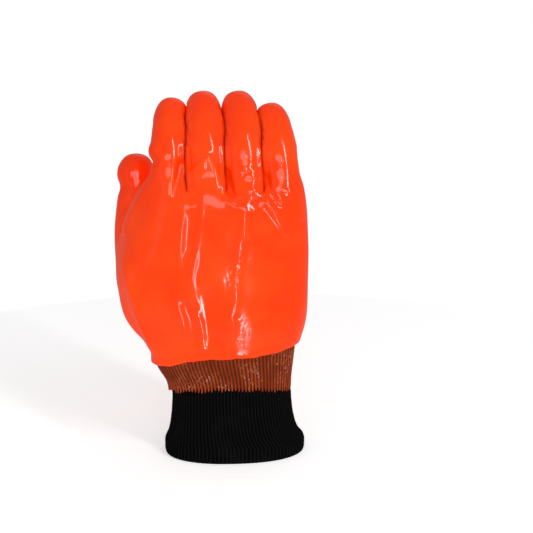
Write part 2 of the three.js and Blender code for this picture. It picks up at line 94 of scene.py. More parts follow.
# The coarse net of the coat. Its columns run from the thumb side over the back to the little finger's side
# and back over the palm face. The last one is the thumb side.
COLUMNS = 20
LITTLE_SIDE = 9
LAST = COLUMNS - 1
WEB_COLUMNS = (2, 4, 6)
THUMB_COLUMNS = (17, 18, 19)
THUMB_ROWS = (3, 5)
SIDES = 8
LINE_STEPS = 60
SPLITS = 4
# Where the last split is kept: below a height on the back, and between two on the palm face.
FINE_BACK = 228.0
FINE_PALM = (145.0, 200.0)

# Sections of the palm: share of the palm's length, left and right edge and bulge as shares of its width,
# then heights as shares of its depth.
SECTION = np.array([
    # up, left, right, bulge, left y, right y, back, palm, thenar, heel, hollow
    (0.00, -0.437, 0.340, 0.00, 0.00, 0.00, -0.58, 0.54, 0.00, 0.00, 0.00),
    (0.07, -0.436, 0.367, 0.00, 0.02, 0.00, -0.57, 0.50, 0.06, 0.03, 0.03),
    (0.19, -0.560, 0.383, 0.03, 0.12, 0.00, -0.57, 0.46, 0.20, 0.08, 0.10),
    (0.34, -0.622, 0.388, 0.00, 0.22, 0.00, -0.55, 0.42, 0.34, 0.10, 0.18),
    (0.50, -0.610, 0.388, 0.00, 0.26, 0.00, -0.54, 0.38, 0.30, 0.08, 0.20),
    (0.66, -0.568, 0.388, 0.02, 0.30, 0.00, -0.52, 0.36, 0.16, 0.05, 0.14),
    (0.82, -0.505, 0.380, 0.05, 0.26, -0.02, -0.48, 0.32, 0.04, 0.03, 0.06),
    (0.97, -0.440, 0.362, 0.04, 0.14, -0.06, -0.40, 0.26, 0.00, 0.00, 0.00),
])
UP, LEFT, RIGHT, BULGE, LEFT_Y, RIGHT_Y, BACK, PALM, THENAR, HEEL, HOLLOW = range(11)
# The mounds and the hollow of the palm face: column above, place across, half width and direction.
MOUNDS = ((THENAR, 0.16, 0.4, 1), (HEEL, 0.86, 0.3, 1), (HOLLOW, 0.56, 0.3, -1))

# Each finger from index to little: length, width and depth as shares, three bends to the palm and three
# leans, in degrees.
FINGERS = (
    (0.865, 0.97, 1.00, (12, 42, 58), (0, 1, 5)),
    (0.985, 0.98, 1.00, (10, 40, 59), (-1, -3, -8)),
    (0.995, 0.98, 1.00, (10, 42, 60), (0, -4, -13)),
    (0.830, 0.95, 0.96, (11, 42, 58), (-4, -10, -14)),
)
THUMB = len(FINGERS)
DIGITS = THUMB + 1
JOINTS = (0.36, 0.68)
JOINT_SPREAD = 0.11

# Rings of a finger and of the thumb: share of the length, then width and depth as shares.
FINGER_RINGS = ((0.12, 1.0, 1.0), (0.26, 1.0, 1.0), (0.40, 1.01, 1.02), (0.54, 1.0, 0.98),
                (0.69, 1.0, 1.0), (0.84, 0.98, 0.98), (0.96, 0.78, 0.78))
THUMB_RINGS = ((0.20, 1.30, 1.25), (0.36, 1.14, 1.10), (0.50, 1.02, 1.02), (0.63, 0.97, 0.98),
               (0.76, 0.97, 0.98), (0.88, 0.86, 0.88), (0.97, 0.54, 0.60))
# Four places on the thumb's centre line, as shares of the hand's width and depth and the thumb's rise.
THUMB_LINE = ((-0.49, 0.42, 0.0), (-0.515, 0.62, 0.35), (-0.52, 0.76, 0.7), (-0.515, 0.84, 1.0))


def bump(value, middle, half):
    """A smooth hump of height 1 at middle that is 0 from half away on."""
    t = np.minimum(1.0, np.abs(value - middle) / half)
    return (1 - t * t) ** 2


def smooth(t):
    """0 below 0, 1 above 1 and an S curve between."""
    t = np.clip(t, 0.0, 1.0)
    return t * t * (3 - 2 * t)


def unit(vectors):
    """Vectors of length one along the given ones."""
    return vectors / np.maximum(np.linalg.norm(vectors, axis=-1, keepdims=True), 1e-12)


def edge_slant(x):
    """How far the coat's lower edge lies above its height in the middle: a slope less a square."""
    return COAT_EDGE_SLOPE * x - COAT_EDGE_DIP * (2 * x / HAND_WIDTH) ** 2


def palm_cage():
    """The palm's rings: across and up on a grid, with a superellipse arch for the back and the palm face,
    mounds and a hollow on the palm face, and a slanted lower edge."""
    rows = SECTION[:, None, :]
    column = np.arange(COLUMNS)
    on_back = column < LITTLE_SIDE
    across = np.where(on_back, column, 2 * LITTLE_SIDE - column) / (LITTLE_SIDE - 1)
    across = np.where(column == LAST, 0.0, np.where(column == LITTLE_SIDE, 1.0, across))[None, :]
    side = (column == LITTLE_SIDE) | (column == LAST)
    offset = np.where(side, np.sign(across - 0.5), SECTION_SPREAD * (2 * across - 1))
    middle = (rows[..., LEFT] + rows[..., RIGHT]) / 2 * HAND_WIDTH
    half = (rows[..., RIGHT] - rows[..., LEFT]) / 2 * HAND_WIDTH * SECTION_SWELL
    arch = np.maximum(0.0, 1 - np.abs(offset) ** SECTION_POWER) ** (1 / SECTION_POWER)
    edge_y = rows[..., LEFT_Y] + (rows[..., RIGHT_Y] - rows[..., LEFT_Y]) * across
    crown = np.where(on_back, rows[..., BACK], rows[..., PALM])
    mounds = sum(sign * rows[..., row] * bump(across, at, reach) for row, at, reach, sign in MOUNDS)
    x = middle + offset * half - np.where(column == LAST, rows[..., BULGE] * HAND_WIDTH, 0.0)
    raised = (crown - edge_y) * arch + np.where(on_back, 0.0, mounds)
    y = (edge_y + np.where(side, 0.0, raised)) * HAND_DEPTH
    level = 1 - smooth(rows[..., UP] / SLANT_FADE)
    z = COAT_EDGE_Z + rows[..., UP] * PALM_LENGTH + level * edge_slant(x)
    webs = np.array(WEB_COLUMNS)
    z[-1, np.concatenate([webs, 2 * LITTLE_SIDE - webs])] -= WEB_DIP
    return np.stack([x, y, z], axis=-1)


def digit_ring(centre, side, front, half_width, half_depth):
    """Eight points of an ellipse round a centre, the first an eighth of a turn before the front."""
    angle = (np.arange(SIDES) - 1)[:, None] * (2 * math.pi / SIDES)
    return (centre + np.sin(angle) * side * half_width * RING_SWELL
            + np.cos(angle) * front * half_depth * RING_SWELL)


def finger_line(length, bends, leans, root):
    """A finger's centre line and directions: three straight bones joined by smooth bends and leans,
    summed step by step from the root."""
    share = np.arange(LINE_STEPS + 1) / LINE_STEPS
    first, second = (smooth((share - joint) / (2 * JOINT_SPREAD) + 0.5) for joint in JOINTS)
    bend, lean = (np.radians(a + (b - a) * first + (c - b) * second) for a, b, c in (bends, leans))
    along = unit(np.stack([np.tan(lean), np.sin(bend), np.cos(bend)], axis=1))
    step = along * (length * FINGER_LENGTH / LINE_STEPS)
    points = root + np.vstack([np.zeros(3), np.cumsum(step, axis=0)[:-1]])
    return points, along


def thumb_line(base_z):
    """The thumb's centre line: a smooth curve through four places, with its directions."""
    places = np.array(THUMB_LINE) * (HAND_WIDTH, HAND_DEPTH, THUMB_RISE) + (0, 0, base_z)
    knots = np.linspace(0, 1, len(places))
    share = np.linspace(0, 1, LINE_STEPS + 1)
    points = np.stack([np.polyval(np.polyfit(knots, places[:, k], 3), share) for k in range(3)], axis=1)
    return points, unit(np.gradient(points, axis=0))


def glove_cage():
    """The whole coat as a coarse net of four-sided faces. Each point is a place and five shares that say
    how far it belongs to each digit."""
    palm = palm_cage()
    index = np.arange(len(palm) * COLUMNS).reshape(-1, COLUMNS)
    count = index.size
    points = [np.hstack([palm.reshape(-1, 3), np.zeros((count, DIGITS))])]
    quads, lines = [], []

    def add(places, digit=None):
        """New points, which belong wholly to one digit or to none."""
        nonlocal count
        block = np.zeros((len(places), 3 + DIGITS))
        block[:, :3] = places
        if digit is not None:
            block[:, 3 + digit] = 1.0
        points.append(block)
        count += len(places)
        return np.arange(count - len(places), count)

    def bridge(lower, upper, keep=slice(None)):
        """Faces between two closed rings."""
        faces = np.stack([lower, np.roll(lower, -1), np.roll(upper, -1), upper], axis=1)
        quads.append(faces[keep])

    def grow(lower, line, along, digit, turn, rings, width, depth):
        """A digit of rings along its line, from an opening of the palm to four faces at the tip."""
        for at, wide, deep in rings:
            step = round(at * LINE_STEPS)
            side = turn * unit(np.array([1.0, 0, 0]) - along[step] * along[step, 0])
            front = np.cross(side, along[step])
            gap = 0.0 if digit == THUMB else FINGER_GAP
            half_width, half_depth = (wide * width - gap) / 2, deep * depth / 2
            upper = add(digit_ring(line[step], side, front, half_width, half_depth), digit)
            bridge(lower, upper)
            lower = upper
        tip = add(line[-1:], digit)
        corner = np.arange(0, SIDES, 2)
        quads.append(np.stack([*(lower[corner + k] for k in (-1, 0, 1)), tip.repeat(len(corner))], axis=1))
        lines.append((line, along))

    def mean_of(chosen):
        """The mean place of a few points."""
        return np.vstack([block[:, :3] for block in points])[chosen].mean(axis=0)

    low, high = THUMB_ROWS
    left, middle, right = THUMB_COLUMNS
    for row in range(len(palm) - 1):
        keep = np.array([not (low <= row < high and left <= column < right) for column in range(COLUMNS)])
        bridge(index[row], index[row + 1], keep)

    top = index[-1]
    webs = [top[LAST]]
    for k in WEB_COLUMNS:
        webs.append(add(mean_of([top[k], top[2 * LITTLE_SIDE - k]])[None, :])[0])
    webs.append(top[LITTLE_SIDE])
    span = np.arange(3)
    for k, (length, width, depth, bends, leans) in enumerate(FINGERS):
        back = top[2 * k + span]
        front = top[2 * (LITTLE_SIDE - 1 - k) + span]
        lower = np.array([*back, webs[k + 1], *front, webs[k]])
        grow(lower, *finger_line(length, bends, leans, mean_of(lower)), k, 1, FINGER_RINGS,
             width * FINGER_WIDTH, depth * FINGER_DEPTH)

    half = (low + high) // 2
    lower = index[(low, low, low, half, high, high, high, half),
                  (left, middle, right, right, right, middle, left, left)]
    grow(lower, *thumb_line(COAT_EDGE_Z + SECTION[half, UP] * PALM_LENGTH), THUMB, -1, THUMB_RINGS,
         THUMB_WIDTH, THUMB_WIDTH)
    return np.vstack(points), np.vstack(quads), lines


def subdivide(points, quads):
    """One Catmull-Clark step on whole arrays: a point for each face at its mean, one for each edge at the
    mean of its ends and faces, and each old point moved towards its neighbours. An open edge stays a
    smooth curve."""
    count = len(points)
    face = points[quads].mean(axis=1)
    ends = np.sort(np.stack([quads, np.roll(quads, -1, axis=1)], axis=2).reshape(-1, 2), axis=1)
    edges, index, uses = np.unique(ends, axis=0, return_inverse=True, return_counts=True)
    index = index.reshape(-1)
    beside = np.zeros((len(edges), points.shape[1]))
    np.add.at(beside, index, np.repeat(face, 4, axis=0))
    middle = points[edges].mean(axis=1)
    inner = uses == 2
    edge = middle.copy()
    edge[inner] = (middle[inner] * 2 + beside[inner]) / 4
    around = np.zeros_like(points)
    np.add.at(around, quads.ravel(), np.repeat(face, 4, axis=0))
    sides = np.zeros_like(points)
    np.add.at(sides, edges.ravel(), np.repeat(middle, 2, axis=0))
    valence = np.maximum(1, np.bincount(quads.ravel(), minlength=count))[:, None]
    degree = np.maximum(1, np.bincount(edges.ravel(), minlength=count))[:, None]
    moved = (around / valence + 2 * sides / degree + (valence - 3) * points) / valence
    rim = edges[~inner]
    near = np.zeros_like(points)
    np.add.at(near, rim.ravel(), points[rim[:, ::-1].ravel()])
    on_rim = np.bincount(rim.ravel(), minlength=count) > 0
    moved[on_rim] = 0.75 * points[on_rim] + 0.125 * near[on_rim]
    edge_of = count + index.reshape(-1, 4)
    centre = count + len(edges) + np.arange(len(quads))
    split = [np.stack([quads[:, k], edge_of[:, k], centre, edge_of[:, k - 1]], axis=1) for k in range(4)]
    return np.vstack([moved, edge, face]), np.vstack(split)


def normals_of(points, quads):
    """Area-weighted normals at the points of a mesh of quads."""
    corner = points[quads]
    normal = np.cross(corner[:, 2] - corner[:, 0], corner[:, 3] - corner[:, 1])
    total = np.zeros((len(points), 3))
    np.add.at(total, quads.ravel(), np.repeat(normal, 4, axis=0))
    return unit(total)


def open_edges(quads):
    """The edges that only one face uses, each in that face's direction."""
    ends = np.stack([quads, np.roll(quads, -1, axis=1)], axis=2).reshape(-1, 2)
    _, index, uses = np.unique(np.sort(ends, axis=1), axis=0, return_inverse=True, return_counts=True)
    return ends[uses[index.reshape(-1)] == 1]


def merged(quads, fine):
    """Faces of a mesh whose last split is kept only where fine is true. Elsewhere the four parts become one
    face again, which keeps the middle of an edge where its neighbour is split."""
    parts = quads.reshape(4, -1, 4)
    corner = parts[:, :, 0].T
    middle = parts[:, :, 1].T
    used_by_fine = np.zeros(quads.max() + 1, bool)
    used_by_fine[parts[:, fine].ravel()] = True
    faces = [parts[:, fine].reshape(-1, 4)]
    coarse = np.nonzero(~fine)[0]
    pattern = used_by_fine[middle[coarse]] @ np.array([1, 2, 4, 8])
    for bits in range(16):
        chosen = coarse[pattern == bits]
        columns = []
        for k in range(4):
            columns.append(corner[chosen, k])
            if bits >> k & 1:
                columns.append(middle[chosen, k])
        faces.append(np.stack(columns, axis=1))
    return faces


TIE = 1e-6


def to_line(flat, line):
    """For each flat point: its distance to a bent line, the share along the line, and the side it is on. At
    a corner of the line the side is that of the stretch it lies furthest off."""
    line = np.asarray(line, float)
    lengths = np.linalg.norm(np.diff(line, axis=0), axis=1)
    passed = np.concatenate([[0], np.cumsum(lengths)])
    best = np.full(len(flat), np.inf)
    share = np.zeros(len(flat))
    offset = np.zeros(len(flat))
    for k in range(len(lengths)):
        way = line[k + 1] - line[k]
        gap = flat - line[k]
        t = np.clip(gap @ way / (way @ way), 0, 1)
        away = np.linalg.norm(gap - t[:, None] * way, axis=1)
        across = (way[0] * gap[:, 1] - way[1] * gap[:, 0]) / lengths[k]
        closer = away < best - TIE
        corner = (np.abs(away - best) <= TIE) & (np.abs(across) > np.abs(offset))
        best = np.where(closer, away, best)
        share = np.where(closer, (passed[k] + t * lengths[k]) / passed[-1], share)
        offset = np.where(closer | corner, across, offset)
    return best, share, np.sign(offset)


# Folds of the coat: rise and half width in millimetres, lean, then places (x, z). A lean of 0 is a round
# ridge; towards 1 or -1 it becomes a step, raised on the left or the right of the line.
BACK_FOLDS = (
    (2.8, 2.8, -0.75, (-36, 200), (-31, 208), (-25, 215), (-18, 222.5), (-13, 216), (-8.8, 203),
     (-3.5, 194), (2.5, 189.5), (7.4, 191), (10, 197), (9.2, 204)),
    (0.62, 2.2, 0.1, (-24, 211), (-30, 205), (-34, 194), (-36.4, 173), (-38, 151), (-37, 141), (-34, 130)),
    (0.56, 2.1, -0.1, (-19.2, 211), (-21.7, 191), (-23.6, 173), (-26.8, 151), (-29.5, 138), (-27.5, 129),
     (-24.0, 118)),
    (-0.9, 4.6, 0.0, (-28, 188), (-30, 170), (-32, 152)),
    (0.62, 2.8, -0.2, (-46, 142), (-42.5, 133), (-40.8, 122), (-38, 114), (-35, 102), (-34, 86)),
    (0.52, 2.4, 0.0, (-33, 119), (-26.5, 112), (-23.6, 105), (-22.5, 95), (-21.6, 84), (-21.8, 78)),
    (-1.1, 5.0, 0.0, (-35, 124), (-30, 112), (-28, 98), (-28, 84)),
    (-1.2, 6.5, 0.0, (-21, 135), (-18.5, 118), (-16.5, 100), (-15, 84)),
    (1.5, 4.4, 0.0, (10, 191), (8.6, 180), (8.2, 164)),
    (1.6, 3.0, 0.0, (18.5, 196), (23.5, 192), (29, 184.5), (34.5, 175), (41, 163)),
    (1.5, 3.0, 0.0, (36.5, 203), (44.5, 189), (49.5, 174)),
    (0.55, 3.4, 0.0, (6.4, 178), (4.8, 156), (2.5, 140), (2.0, 122), (-1.2, 111), (-0.5, 100), (-2, 86)),
    (-2.6, 2.8, 0.0, (-35.5, 222), (-36.6, 213), (-39, 205), (-41, 198), (-41.5, 190)),
    (-2.7, 2.6, 0.0, (-6.0, 216), (-4.4, 206), (-1.0, 198), (3.6, 195)),
    (-1.8, 2.8, 0.0, (22.4, 212), (24.4, 202), (28, 194), (33, 187)),
    (1.3, 5.0, 0.0, (14, 214), (16, 204), (14, 196)),
    (0.6, 2.2, 0.0, (6, 214.5), (19, 212.5)),
    (0.5, 2.2, 0.0, (7, 209), (20, 206.5)),
)
PALM_FOLDS = (
    (-4.2, 6.5, 0.0, (-44, 163), (-37, 154), (-24, 136), (-17, 124), (-12.5, 109)),
    (-3.2, 3.8, 0.0, (-12.5, 111), (-13.6, 103), (-16, 92), (-20, 82)),
    (2.0, 6.0, 0.0, (-6, 128), (-3.5, 112), (-6, 98)),
    (1.8, 5.0, 0.0, (-22, 104), (-28, 93), (-32, 84)),
    (2.2, 2.8, 0.0, (-32, 195), (-20.5, 188), (-17, 182), (-17.6, 174), (-19.4, 166)),
    (1.8, 2.4, 0.0, (-26.5, 184), (-24.6, 172), (-26.5, 155), (-22, 148)),
    (2.0, 2.6, 0.0, (-10.5, 178), (-9.4, 165), (-10.6, 156), (-15, 149), (-21, 147)),
    (-2.6, 3.0, 0.0, (-5.5, 201), (-8, 193), (-13.2, 180), (-13.6, 162)),
    (-2.4, 2.6, 0.0, (-22.5, 186), (-21.4, 172), (-21.8, 158)),
    (-2.4, 3.4, 0.0, (20, 200), (17, 188), (12, 178), (8, 168)),
    (1.8, 3.0, 0.0, (25, 196), (22, 184), (16, 172)),
    (-2.0, 3.0, 0.0, (40, 190), (32, 184), (24, 180)),
    (-1.8, 4.0, 0.0, (46, 166), (30, 158), (14, 152), (2, 148)),
    (1.2, 4.0, 0.0, (44, 158), (30, 150), (14, 144)),
    (-1.6, 4.0, 0.0, (30, 146), (18, 130), (12, 112), (12, 92)),
    (1.4, 5.0, 0.0, (36, 132), (26, 116), (22, 96)),
    (-1.6, 3.2, 0.0, (-64, 118), (-54, 104), (-46, 88)),
    (1.2, 3.0, 0.0, (-58, 120), (-47, 106), (-38, 92)),
)
# Folds on the rounded thumb side, where the back and the palm face meet.
SIDE_FOLDS = (
    (2.0, 3.6, 0.3, (-58, 201), (-69, 186), (-77, 170), (-81, 157)),
    (2.4, 4.0, 0.0, (-80, 150), (-73, 128), (-66, 104), (-60, 88), (-55, 72)),
    (-1.6, 4.0, 0.0, (-83, 128), (-77, 108), (-67, 90), (-62, 78)),
)
# Each face of the hand with the way it looks.
FACES = ((BACK_FOLDS, (0, -1, 0)), (PALM_FOLDS, (0, 1, 0)), (SIDE_FOLDS, (-0.8, -0.6, 0)))
FOLD_END = 0.22
STEP_FADE = 15.0

# Small crinkled patches on the back: place (x, z), radius up and radius across.
CRINKLES = ((4.8, 152, 8, 4.5), (1.5, 138, 8, 6), (-1.0, 108, 15, 6), (9, 97, 14, 6), (28, 93, 5, 5),
            (40, 95, 6, 8))
CRINKLE_RISE = 0.36

# Creases inside the joints of a finger: share of its length and depth in millimetres.
FINGER_CREASES = ((0.30, 1.7), (0.37, 1.3), (0.66, 1.9))

# Where fingers meet, in millimetres: the wave between them, the widest gap that closes wholly, how much
# wider none closes, and the fade of the painted shade where they meet. The top is where it ends, in shares
# of the finger.
TOUCH_WAVE = 0.7
TOUCH_GAP = 2.4
TOUCH_END = 1.8
CREASE_FADE = 0.8
TOUCH_TOP = 0.60
TOUCH_TOP_FADE = 0.16


def fold_height(place, normal):
    """How far the folds lift the skin. A ridge is a bell curve of the distance to its line, a step an S
    curve that dies out further in. Both fade at the ends of the line and off the face they are on."""
    flat = place[:, [0, 2]]
    height = np.zeros(len(place))
    for folds, facing in FACES:
        on_face = smooth(normal @ np.array(facing, float) * 2.2 + 0.15)
        for rise, width, lean, *line in folds:
            away, share, side = to_line(flat, line)
            ends = smooth(share / FOLD_END) * smooth((1 - share) / FOLD_END)
            raised = away * side * np.sign(lean)
            step = smooth(raised / (2 * width) + 0.5) * np.exp(-np.maximum(raised, 0) / STEP_FADE)
            near = np.exp(-(away / (2 * STEP_FADE)) ** 2)
            height += on_face * rise * ends * ((1 - abs(lean)) * np.exp(-(away / width) ** 2)
                                               + abs(lean) * step * near)
    return height


def crinkle_height(place, normal):
    """Small sharp wrinkles: crossed sines inside a few patches on the back."""
    x, _, z = place.T
    wrinkle = (np.sin(x * 2.4 + z * 1.4 + 0.8 * np.sin(z * 0.7))
               * np.sin(z * 2.2 - x * 1.2 + np.sin(x * 0.8)))
    patch = sum(bump(np.hypot((x - at) / wide, (z - up) / tall), 0.0, 1.6)
                for at, up, tall, wide in CRINKLES)
    return CRINKLE_RISE * wrinkle * np.minimum(patch, 1.0) * smooth(-normal[:, 1] * 2)


def ripple(place):
    """Slow waves in the coat, as hand dipping leaves them: a sum of a few crossed sines."""
    x, y, z = place.T
    return (0.22 * np.sin(x / 9.1 + z / 17.0 + 0.6) * np.sin(z / 12.7 - y / 8.3 + 1.1)
            + 0.12 * np.sin(x / 5.3 - z / 9.7 + 2.1) * np.sin(y / 6.1 + z / 14.0)
            + 0.03 * np.sin(x / 2.9 + y / 3.7) * np.sin(z / 4.3 + 0.4))


def digit_places(place, lines, weights):
    """For each digit: its points, where each lies along it, its angle round it (0 at the back) and how far
    it belongs to the digit."""
    for digit, (line, along) in enumerate(lines):
        member = np.nonzero(weights[:, digit] > 0.05)[0]
        gap = place[member, None, :] - line[None, :, :]
        step = np.argmin((gap ** 2).sum(axis=2), axis=1)
        way = along[step]
        gap = place[member] - line[step]
        side = unit(np.array([1.0, 0, 0]) - way * way[:, :1])
        outward = np.cross(side, way)
        angle = np.arctan2((gap * side).sum(axis=1), (gap * outward).sum(axis=1))
        yield digit, member, step / LINE_STEPS, angle, weights[member, digit]


def digit_height(place, lines, weights):
    """Creases across the inside of each joint with a swelling beyond them, a bulb before each fingertip,
    knuckles, and sides that swell towards the next finger. The thumb has one crease and one dent."""
    height = np.zeros(len(place))
    for digit, member, at, angle, weight in digit_places(place, lines, weights):
        inside = smooth(-np.cos(angle) * 0.9 + 0.35)
        wave = 0.5 * np.sin(angle * 2 + digit) + 0.35 * np.sin(angle * 5 + 2 * digit)
        lift = np.zeros(len(member))
        if digit == THUMB:
            outer = smooth(-np.sin(angle) * 1.4 + 0.1)
            away = (at - 0.55) * THUMB_LENGTH + wave
            lift += outer * (-1.5 * bump(at, 0.62, 0.10) + 0.9 * bump(at, 0.78, 0.14))
            lift += inside * (-1.5 * np.exp(-(away / 2.8) ** 2))
        else:
            for joint, depth in FINGER_CREASES:
                away = (at - joint) * (FINGERS[digit][0] * FINGER_LENGTH) + wave * 1.4
                lift += inside * (-depth * np.exp(-(away / 2.6) ** 2)
                                  + 0.7 * np.exp(-((away - 6) / 4.5) ** 2))
            lift += 0.9 * inside * bump(at, 0.84, 0.2)
            lift += 0.5 * bump(at, 0.34, 0.16) * smooth(np.cos(angle) + 0.3)
            outer = {0: -np.sin(angle), THUMB - 1: np.sin(angle)}.get(digit, np.zeros(len(member)))
            lift += 0.9 * (1 - smooth(outer * 3)) * np.sin(angle) ** 2 * bump(at, 0.5, 0.62)
        if digit == 0:
            thumb_side = smooth(-np.sin(angle) * 1.6 - 0.3)
            lift += thumb_side * (1.6 * bump(at, 0.36, 0.10) - 1.5 * bump(at, 0.25, 0.07))
        height[member] += lift * weight
    return height


def placed(name, data):
    """A new object in the scene."""
    thing = bpy.data.objects.new(name, data)
    bpy.context.scene.collection.objects.link(thing)
    return thing


def mesh_piece(name, points, faces, material):
    """A new object in metres on the CAD frame, from points in millimetres and faces of any size."""
    mesh = bpy.data.meshes.new(name)
    corners = ((points + SHIFT) * MM).tolist()
    mesh.from_pydata(corners, [], [face for block in faces for face in block.tolist()])
    mesh.polygons.foreach_set("use_smooth", np.full(len(mesh.polygons), True))
    mesh.materials.append(material)
    mesh.update()
    return placed(name, mesh)


def set_uv(piece, around, levels):
    """A UV map for a tube: ribs counted round it, and one height for each of its rings."""
    values = np.stack([np.tile(around, len(levels)), np.repeat(levels, len(around))], axis=1)
    mesh = piece.data
    loops = np.empty(len(mesh.loops), np.int32)
    mesh.loops.foreach_get("vertex_index", loops)
    layer = mesh.uv_layers.new(name="ribs")
    layer.data.foreach_set("uv", values[loops].astype(np.float32).ravel())


def press_fingers(place, normal, lines, weights):
    """Neighbouring fingers lie against each other: sides that face a close neighbour are drawn out to a
    surface midway between the two centre lines, waved from back to palm, and what lies beyond it is pressed
    flat with a soft turn. Nothing is drawn out near the round tips. The second result says how near each
    point is to that surface, for the painted shade of the dark lines between the fingers."""
    place = place.copy()
    crease_shade = np.zeros(len(place))
    for digit in range(THUMB):
        member = np.nonzero(weights[:, digit] > 0.02)[0]
        share = smooth(weights[member, digit] / 0.5)
        for other in (k for k in (digit - 1, digit + 1) if 0 <= k < THUMB):
            steps = [np.argmin(((place[member, None, :] - line[0][None]) ** 2).sum(axis=2), axis=1)
                     for line in (lines[digit], lines[other])]
            own, near = (lines[k][0][step] for k, step in zip((digit, other), steps))
            way = unit(near - own)
            wave = TOUCH_WAVE * np.sin(place[member, 1] / 3.2) * (1 if other > digit else -1)
            beyond = ((place[member] - (own + near) / 2) * way).sum(axis=1) - wave + 0.03
            facing = smooth(((normal[member] * way).sum(axis=1) - 0.1) / 0.6)
            gap = np.maximum(-beyond, 0)
            below_tip = 1 - smooth((steps[0] / LINE_STEPS - TOUCH_TOP) / TOUCH_TOP_FADE)
            draw = gap * facing * (1 - smooth((gap - TOUCH_GAP) / TOUCH_END)) * below_tip
            place[member] += way * (draw * share)[:, None]
            beyond += draw * share
            push = (beyond + np.sqrt(beyond ** 2 + 0.012)) / 2 * (beyond > -1.5)
            place[member] -= way * (push * share)[:, None]
            # Painted shade: how dark the coat is painted here, near where it meets the next finger.
            near_touch = share * np.exp(np.minimum(beyond - push, 0) / CREASE_FADE) * smooth(facing * 2)
            crease_shade[member] = np.maximum(crease_shade[member], near_touch)
    return place, crease_shade


def coat_edge_wave(place):
    """How the coat's lower edge leaves its plain slant: it is level below the thumb side of the back."""
    x, y, _ = place.T
    on_back = smooth(-y / 12)
    return on_back * (1.9 * bump(x, -27, 24) - 1.0 * bump(x, 14, 22) + 0.8 * bump(x, 44, 16)
                      + 0.25 * np.sin(x / 3.1 + 0.5) + 0.15 * np.sin(x / 1.4))


def used_points(faces, count):
    """The points that faces use, and each point's number among them."""
    used = np.unique(np.concatenate([block.ravel() for block in faces]))
    number = np.zeros(count, int)
    number[used] = np.arange(len(used))
    return used, number


def coat_piece(material):
    """The coat: the subdivided cage lifted by the folds, its inner skin a wall's depth inside, and a lip
    between them along the lower edge."""
    points, quads, lines = glove_cage()
    for _ in range(SPLITS):
        points, quads = subdivide(points, quads)
    used, number = used_points([quads], len(points))
    points, quads = points[used], number[quads]
    place, weights = points[:, :3], points[:, 3:]
    normal = normals_of(place, quads)
    height = (fold_height(place, normal) + crinkle_height(place, normal) + ripple(place)
              + digit_height(place, lines, weights))
    above = place[:, 2] - (COAT_EDGE_Z + edge_slant(place[:, 0]))
    height *= smooth((above + 2) / 9) * 0.85 + 0.15
    height += 0.4 * bump(above, 2.0, 4.5)
    place, crease_shade = press_fingers(place + normal * height[:, None], normal, lines, weights)
    place[:, 2] += coat_edge_wave(place) * (1 - smooth(above / 22))
    normal = normals_of(place, quads)
    inner = place - normal * COAT_WALL

    rim = open_edges(quads)
    on_rim = np.zeros(len(place), bool)
    on_rim[rim.ravel()] = True
    parts = quads.reshape(4, -1, 4)
    at_rim = on_rim[parts].any(axis=(0, 2))
    facing, up = normal[parts[0, :, 2], 1], place[parts[0, :, 2], 2]
    on_back = (facing < -0.25) & (up < FINE_BACK)
    on_palm = (facing > 0.2) & (up > FINE_PALM[0]) & (up < FINE_PALM[1])
    total = len(place)
    rim_points = np.unique(rim)
    lip_of = np.zeros(total, int)
    lip_of[rim_points] = 2 * total + np.arange(len(rim_points))
    lip = (place[rim_points] + inner[rim_points]) / 2 - (0, 0, 0.9)
    a, b = rim.T
    faces = merged(quads, at_rim | on_back | on_palm)
    faces += [block[:, ::-1] + total for block in merged(quads, at_rim)]
    faces += [np.stack([b, a, lip_of[a], lip_of[b]], axis=1),
              np.stack([lip_of[b], lip_of[a], a + total, b + total], axis=1)]
    points = np.vstack([place, inner, lip])
    used, number = used_points(faces, len(points))
    piece = mesh_piece("pvc_coat", points[used], [number[block] for block in faces], material)
    # Painted shade between the fingers, kept on the points for the material.
    painted_shade = np.concatenate([crease_shade, crease_shade, np.zeros(len(lip))])[used]
    piece.data.attributes.new("crease_shade", "FLOAT", "POINT").data.foreach_set("value", painted_shade.astype(np.float32))
    return piece


def spline_weights(t):
    """The four weights of a cubic B-spline, in sixths, at a share of the way between two points."""
    return (1 - t) ** 3, 3 * t ** 3 - 6 * t ** 2 + 4, -3 * t ** 3 + 3 * t ** 2 + 3 * t + 1, t ** 3


def coat_ring(up, depth, columns):
    """A ring of the coat near its lower edge, at a share of the first row of the cage and a depth inside
    the skin: a closed cubic B-spline round the cage, spaced evenly from its leftmost point."""
    cage = palm_cage()
    cage = np.concatenate([2 * cage[:1] - cage[1:2], cage])
    weight = np.array(spline_weights(up)) / 6
    slope = np.array([-(1 - up) ** 2, 3 * up ** 2 - 4 * up, -3 * up ** 2 + 2 * up + 1, up ** 2]) / 2
    ring, rise = (np.tensordot(w, cage[:4], axes=1) for w in (weight, slope))
    along = np.linspace(0, COLUMNS, 100 * COLUMNS, endpoint=False)
    column = along.astype(int)
    blend = spline_weights((along % 1)[:, None])
    fine, lift = (sum(w * values[(column + k - 1) % COLUMNS] for k, w in enumerate(blend)) / 6
                  for values in (ring, rise))
    around = np.roll(fine, -1, axis=0) - np.roll(fine, 1, axis=0)
    fine = fine - unit(np.cross(around, lift)) * depth
    return evenly(fine, columns)


def evenly(ring, columns):
    """A closed ring with its points spaced evenly from its leftmost point."""
    ring = np.roll(ring, -np.argmin(ring[:, 0]), axis=0)
    ring = np.vstack([ring, ring[:1]])
    passed = np.concatenate([[0], np.cumsum(np.linalg.norm(np.diff(ring, axis=0), axis=1))])
    at = np.arange(columns) / columns * passed[-1]
    return np.stack([np.interp(at, passed, ring[:, k]) for k in range(3)], axis=1)


